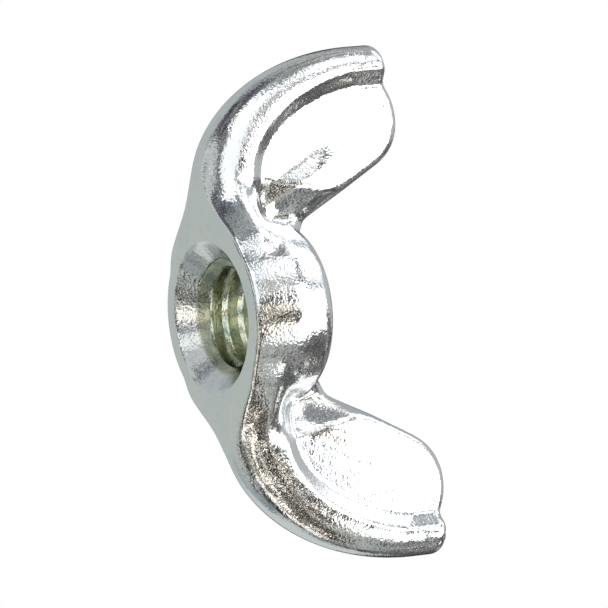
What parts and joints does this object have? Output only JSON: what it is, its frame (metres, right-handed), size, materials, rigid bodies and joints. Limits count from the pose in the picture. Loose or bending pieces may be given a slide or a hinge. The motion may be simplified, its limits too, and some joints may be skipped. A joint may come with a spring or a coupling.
{
  "type": "wing nut",
  "caption": "Forged steel wing nut: a short tapered boss tapped right through, with a rounded wing sweeping out and up on each side for tightening by hand.",
  "frame": {"origin": "on the thread axis, in the plane of the flat bearing face", "axes": "+Z along the thread axis from the bearing face to the wing tips, +X along the wings, +Y through their thickness"},
  "size_m": [0.036, 0.0132, 0.0168],
  "materials": {
    "zinc_plate": "bright zinc plate on forged steel"
  },
  "bodies": {
    "root": {"wing_nut": "zinc_plate"}
  },
  "joints": []
}
